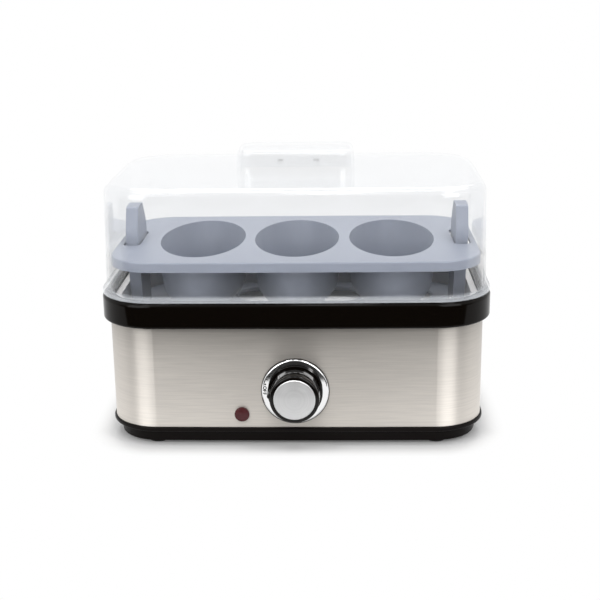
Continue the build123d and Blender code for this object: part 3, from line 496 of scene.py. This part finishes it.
# ---------------------------------------------------------------- studio
def add_floor():
    """Pale floor that fades to plain white away from the cooker and keeps its shadow."""
    mesh = bpy.data.meshes.new("floor")
    corners = [(sx * floor_half, sy * floor_half, 0.0)
               for sx, sy in ((-1, -1), (1, -1), (1, 1), (-1, 1))]
    mesh.from_pydata(corners, [], [(0, 1, 2, 3)])
    floor = bpy.data.objects.new("floor", mesh)
    scene.collection.objects.link(floor)
    finish = Finish("pale floor", Roughness=0.9, Specular_IOR_Level=0.1)
    finish.set("Base Color", (floor_albedo,) * 3)
    low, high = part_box("base_pan")
    middle = (low + high) / 2
    foot_half = Vector((high.x - middle.x - corner_round, high.y - middle.y - corner_round, 0))
    spot = finish.node("ShaderNodeVectorMath", {"operation": "SUBTRACT"},
                       {0: finish.place(), 1: (middle.x, middle.y, 0)})
    spot = finish.node("ShaderNodeVectorMath", {"operation": "ABSOLUTE"}, {0: spot})
    past = finish.node("ShaderNodeVectorMath", {"operation": "SUBTRACT"},
                       {0: spot, 1: tuple(foot_half)})
    past = finish.node("ShaderNodeVectorMath", {"operation": "MAXIMUM"}, {0: past, 1: (0, 0, 0)})
    reach = finish.node("ShaderNodeVectorMath", {"operation": "LENGTH"}, {0: past}, out="Value")
    fade = finish.node("ShaderNodeMapRange", {"interpolation_type": "SMOOTHSTEP"},
                       {"Value": reach, "From Min": corner_round,
                        "From Max": corner_round + floor_clear,
                        "To Min": floor_lift, "To Max": 1.0})
    table = finish.node("ShaderNodeMapRange", {"interpolation_type": "SMOOTHSTEP"},
                        {"Value": finish.part(finish.place(), "Y"),
                         "From Min": table_edge - table_edge_soft, "From Max": table_edge,
                         "To Min": table_front, "To Max": 1.0})
    plain, gloss = seen_as_background(finish)
    white = finish.node("ShaderNodeEmission", None,
                        {"Color": (1, 1, 1), "Strength": plain + gloss * table})
    mixed = finish.node("ShaderNodeMixShader", None,
                        {0: (plain + gloss) * fade,
                         1: Shade(finish, finish.surface.outputs[0]), 2: white})
    finish.feed(finish.output.inputs["Surface"], mixed)
    mesh.materials.append(finish.material)


def seen_as_background(finish):
    """Two shades: 1 for rays from the camera or through glass, and 1 for rays from gloss."""
    camera = finish.node("ShaderNodeLightPath", out="Is Camera Ray")
    glass = finish.node("ShaderNodeLightPath", out="Is Transmission Ray")
    gloss = finish.node("ShaderNodeLightPath", out="Is Glossy Ray")
    plain = finish.node("ShaderNodeMath", {"operation": "MAXIMUM"}, {0: camera, 1: glass})
    return plain, gloss


class Sky(Finish):
    """The world's nodes, made the same way as a finish."""

    def __init__(self, world):
        world.use_nodes = True
        self.tree = world.node_tree
        self.tree.nodes.clear()
        self.output = self.tree.nodes.new("ShaderNodeOutputWorld")


def add_sky():
    """White behind and above, dimmer in front of the cooker."""
    world = bpy.data.worlds.new("studio")
    scene.world = world
    sky = Sky(world)
    direction = sky.node("ShaderNodeTexCoord", out="Generated")
    depth = sky.part(direction, "Y")
    height = sky.part(direction, "Z")

    def behind(front, rear):
        return sky.node("ShaderNodeMapRange", {"interpolation_type": "SMOOTHSTEP"},
                        {"Value": depth + sky_height_share * height,
                         "From Min": sky_turn[0], "From Max": sky_turn[1],
                         "To Min": front, "To Max": rear})

    plain, gloss = seen_as_background(sky)
    unseen = 1 - plain - gloss
    level = (plain + gloss * behind(front_level, 1.0)
             + unseen * behind(front_share * sky_level, sky_level))
    light = sky.node("ShaderNodeBackground", None, {"Color": (1, 1, 1), "Strength": level})
    sky.feed(sky.output.inputs["Surface"], light)


def add_softbox(name, side_angle, height_angle, distance, width, tall, level):
    """Softbox aimed at the cooker: angles in degrees from -Y and from level, and brightness."""
    lamp = bpy.data.lights.new(name, "AREA")
    lamp.shape = "RECTANGLE"
    lamp.size = width
    lamp.size_y = tall
    lamp.energy = level * pi * width * tall
    holder = bpy.data.objects.new(name, lamp)
    scene.collection.objects.link(holder)
    level_reach = cos(radians(height_angle))
    away = Vector((sin(radians(side_angle)) * level_reach,
                   -cos(radians(side_angle)) * level_reach,
                   sin(radians(height_angle))))
    holder.location = Vector(lamp_aim) + distance * away
    holder.rotation_euler = (-away).to_track_quat("-Z", "Y").to_euler()


def add_camera():
    """Camera from its place and its three angles."""
    forward = Vector((sin(camera_yaw) * cos(camera_pitch),
                      cos(camera_yaw) * cos(camera_pitch),
                      -sin(camera_pitch)))
    level = Vector((cos(camera_yaw), -sin(camera_yaw), 0))
    upright = level.cross(forward)
    right = cos(camera_roll) * level + sin(camera_roll) * upright
    up = -sin(camera_roll) * level + cos(camera_roll) * upright
    data = bpy.data.cameras.new("camera")
    data.sensor_width = sensor_mm
    data.lens = focal_pixels * sensor_mm / picture_width
    camera = bpy.data.objects.new("camera", data)
    scene.collection.objects.link(camera)
    turn = Matrix((right, up, -forward)).transposed()
    camera.matrix_world = Matrix.Translation(camera_place) @ turn.to_4x4()
    scene.camera = camera


add_floor()
add_sky()
for softbox in softboxes:
    add_softbox(*softbox)
add_camera()

scene.view_settings.view_transform = "Standard"
